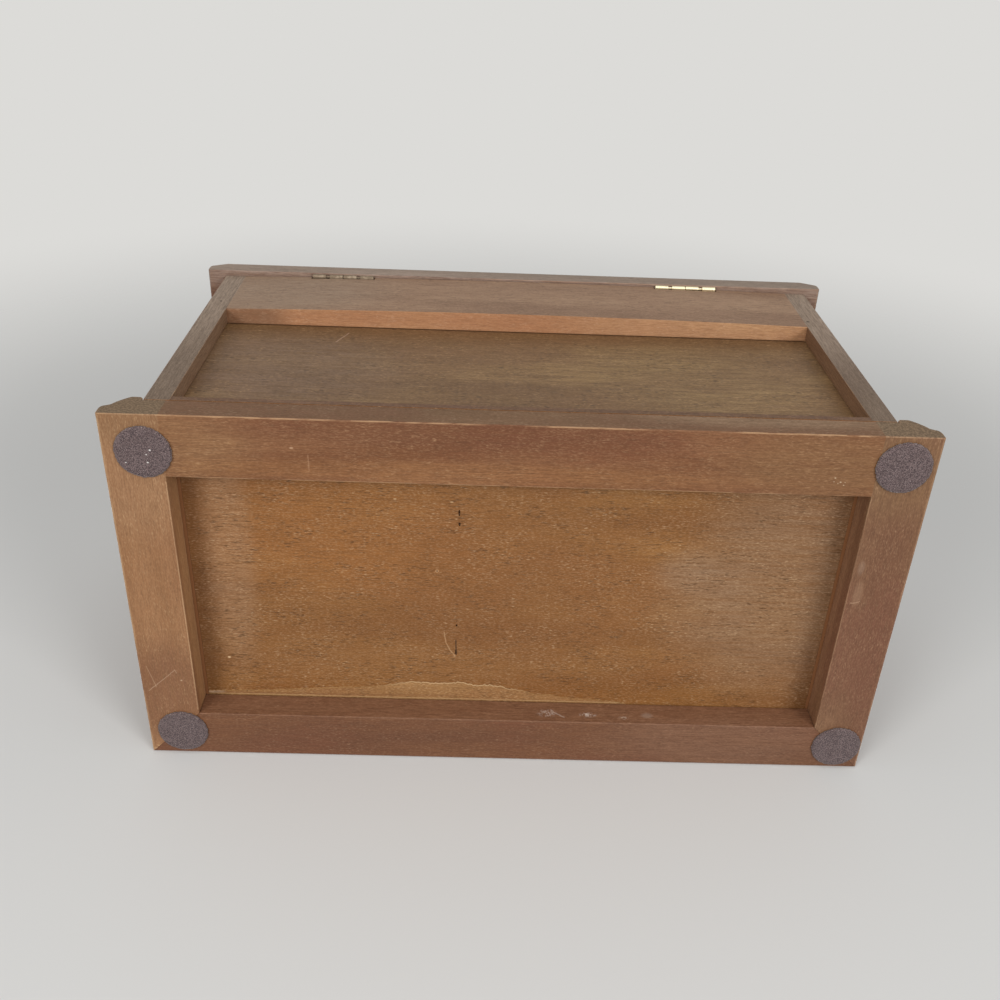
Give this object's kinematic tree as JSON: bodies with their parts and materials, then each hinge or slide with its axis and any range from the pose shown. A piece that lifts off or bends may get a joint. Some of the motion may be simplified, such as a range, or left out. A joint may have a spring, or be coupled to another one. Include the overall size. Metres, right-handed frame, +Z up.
{
  "type": "jewelry box",
  "caption": "Wooden jewelry box with a hinged mirrored lid, an open divided tray, inset drawers in bays either side of a partition, and a moulded plinth on felt pads.",
  "frame": {"origin": "on the plane that the felt pads stand on, under the middle of the whole box", "axes": "+X to the right seen from the front, +Y from the drawers to the hinged back, +Z up"},
  "size_m": [0.27, 0.145, 0.144],
  "materials": {
    "stained_wood": "stained hardwood, satin lacquer, worn on the arrises",
    "plywood": "stained thin plywood, satin",
    "pale_wood": "bare pale hardwood, planed",
    "felt": "pressed grey-purple felt",
    "velvet": "short dark red velvet",
    "brass": "polished, dulled by handling",
    "mirror_glass": "silvered glass"
  },
  "bodies": {
    "case": {"base_front_rail": "stained_wood", "base_left_rail": "stained_wood", "base_right_rail": "stained_wood", "base_back_rail": "stained_wood", "felt_pad_right_back": "felt", "felt_pad_left_back": "felt", "felt_pad_right_front": "felt", "felt_pad_left_front": "felt", "bottom_panel": "plywood", "end_board_right": "stained_wood", "end_board_left": "stained_wood", "back_panel": "plywood", "back_rail": "stained_wood", "front_rail": "stained_wood", "tray_floor": "plywood", "partition": "stained_wood", "shelf_left": "stained_wood", "shelf_right": "stained_wood", "tray_divider_long": "velvet", "tray_divider_back_left": "velvet", "tray_divider_back_right": "velvet", "tray_divider_front": "velvet", "ring_rolls": "velvet", "hinge_left_body_leaf": "brass", "hinge_left_pin": "brass", "hinge_right_body_leaf": "brass", "hinge_right_pin": "brass"},
    "lid": {"lid_board": "stained_wood", "lid_mirror": "mirror_glass", "hinge_left_lid_leaf": "brass", "hinge_right_lid_leaf": "brass"},
    "drawer_lower_left": {"drawer_lower_left_front": "stained_wood", "drawer_lower_left_side_left": "pale_wood", "drawer_lower_left_side_right": "pale_wood", "drawer_lower_left_back": "pale_wood", "drawer_lower_left_bottom": "plywood", "drawer_lower_left_knob": "brass"},
    "drawer_lower_right": {"drawer_lower_right_front": "stained_wood", "drawer_lower_right_side_left": "pale_wood", "drawer_lower_right_side_right": "pale_wood", "drawer_lower_right_back": "pale_wood", "drawer_lower_right_bottom": "plywood", "drawer_lower_right_knob": "brass"},
    "drawer_upper_left": {"drawer_upper_left_front": "stained_wood", "drawer_upper_left_side_left": "pale_wood", "drawer_upper_left_side_right": "pale_wood", "drawer_upper_left_back": "pale_wood", "drawer_upper_left_bottom": "plywood", "drawer_upper_left_knob": "brass"},
    "drawer_upper_right": {"drawer_upper_right_front": "stained_wood", "drawer_upper_right_side_left": "pale_wood", "drawer_upper_right_side_right": "pale_wood", "drawer_upper_right_back": "pale_wood", "drawer_upper_right_bottom": "plywood", "drawer_upper_right_knob": "brass"}
  },
  "joints": [
    {"name": "lid_hinge", "type": "hinge", "parent": "case", "child": "lid", "pos_m": [0, 0.0714, 0.1341], "axis": [-1, 0, 0], "range_deg": [0, 95]},
    {"name": "drawer_lower_left_slide", "type": "slide", "parent": "case", "child": "drawer_lower_left", "axis": [0, -1, 0], "range_m": [0, 0.085]},
    {"name": "drawer_lower_right_slide", "type": "slide", "parent": "case", "child": "drawer_lower_right", "axis": [0, -1, 0], "range_m": [0, 0.085]},
    {"name": "drawer_upper_left_slide", "type": "slide", "parent": "case", "child": "drawer_upper_left", "axis": [0, -1, 0], "range_m": [0, 0.085]},
    {"name": "drawer_upper_right_slide", "type": "slide", "parent": "case", "child": "drawer_upper_right", "axis": [0, -1, 0], "range_m": [0, 0.085]}
  ]
}
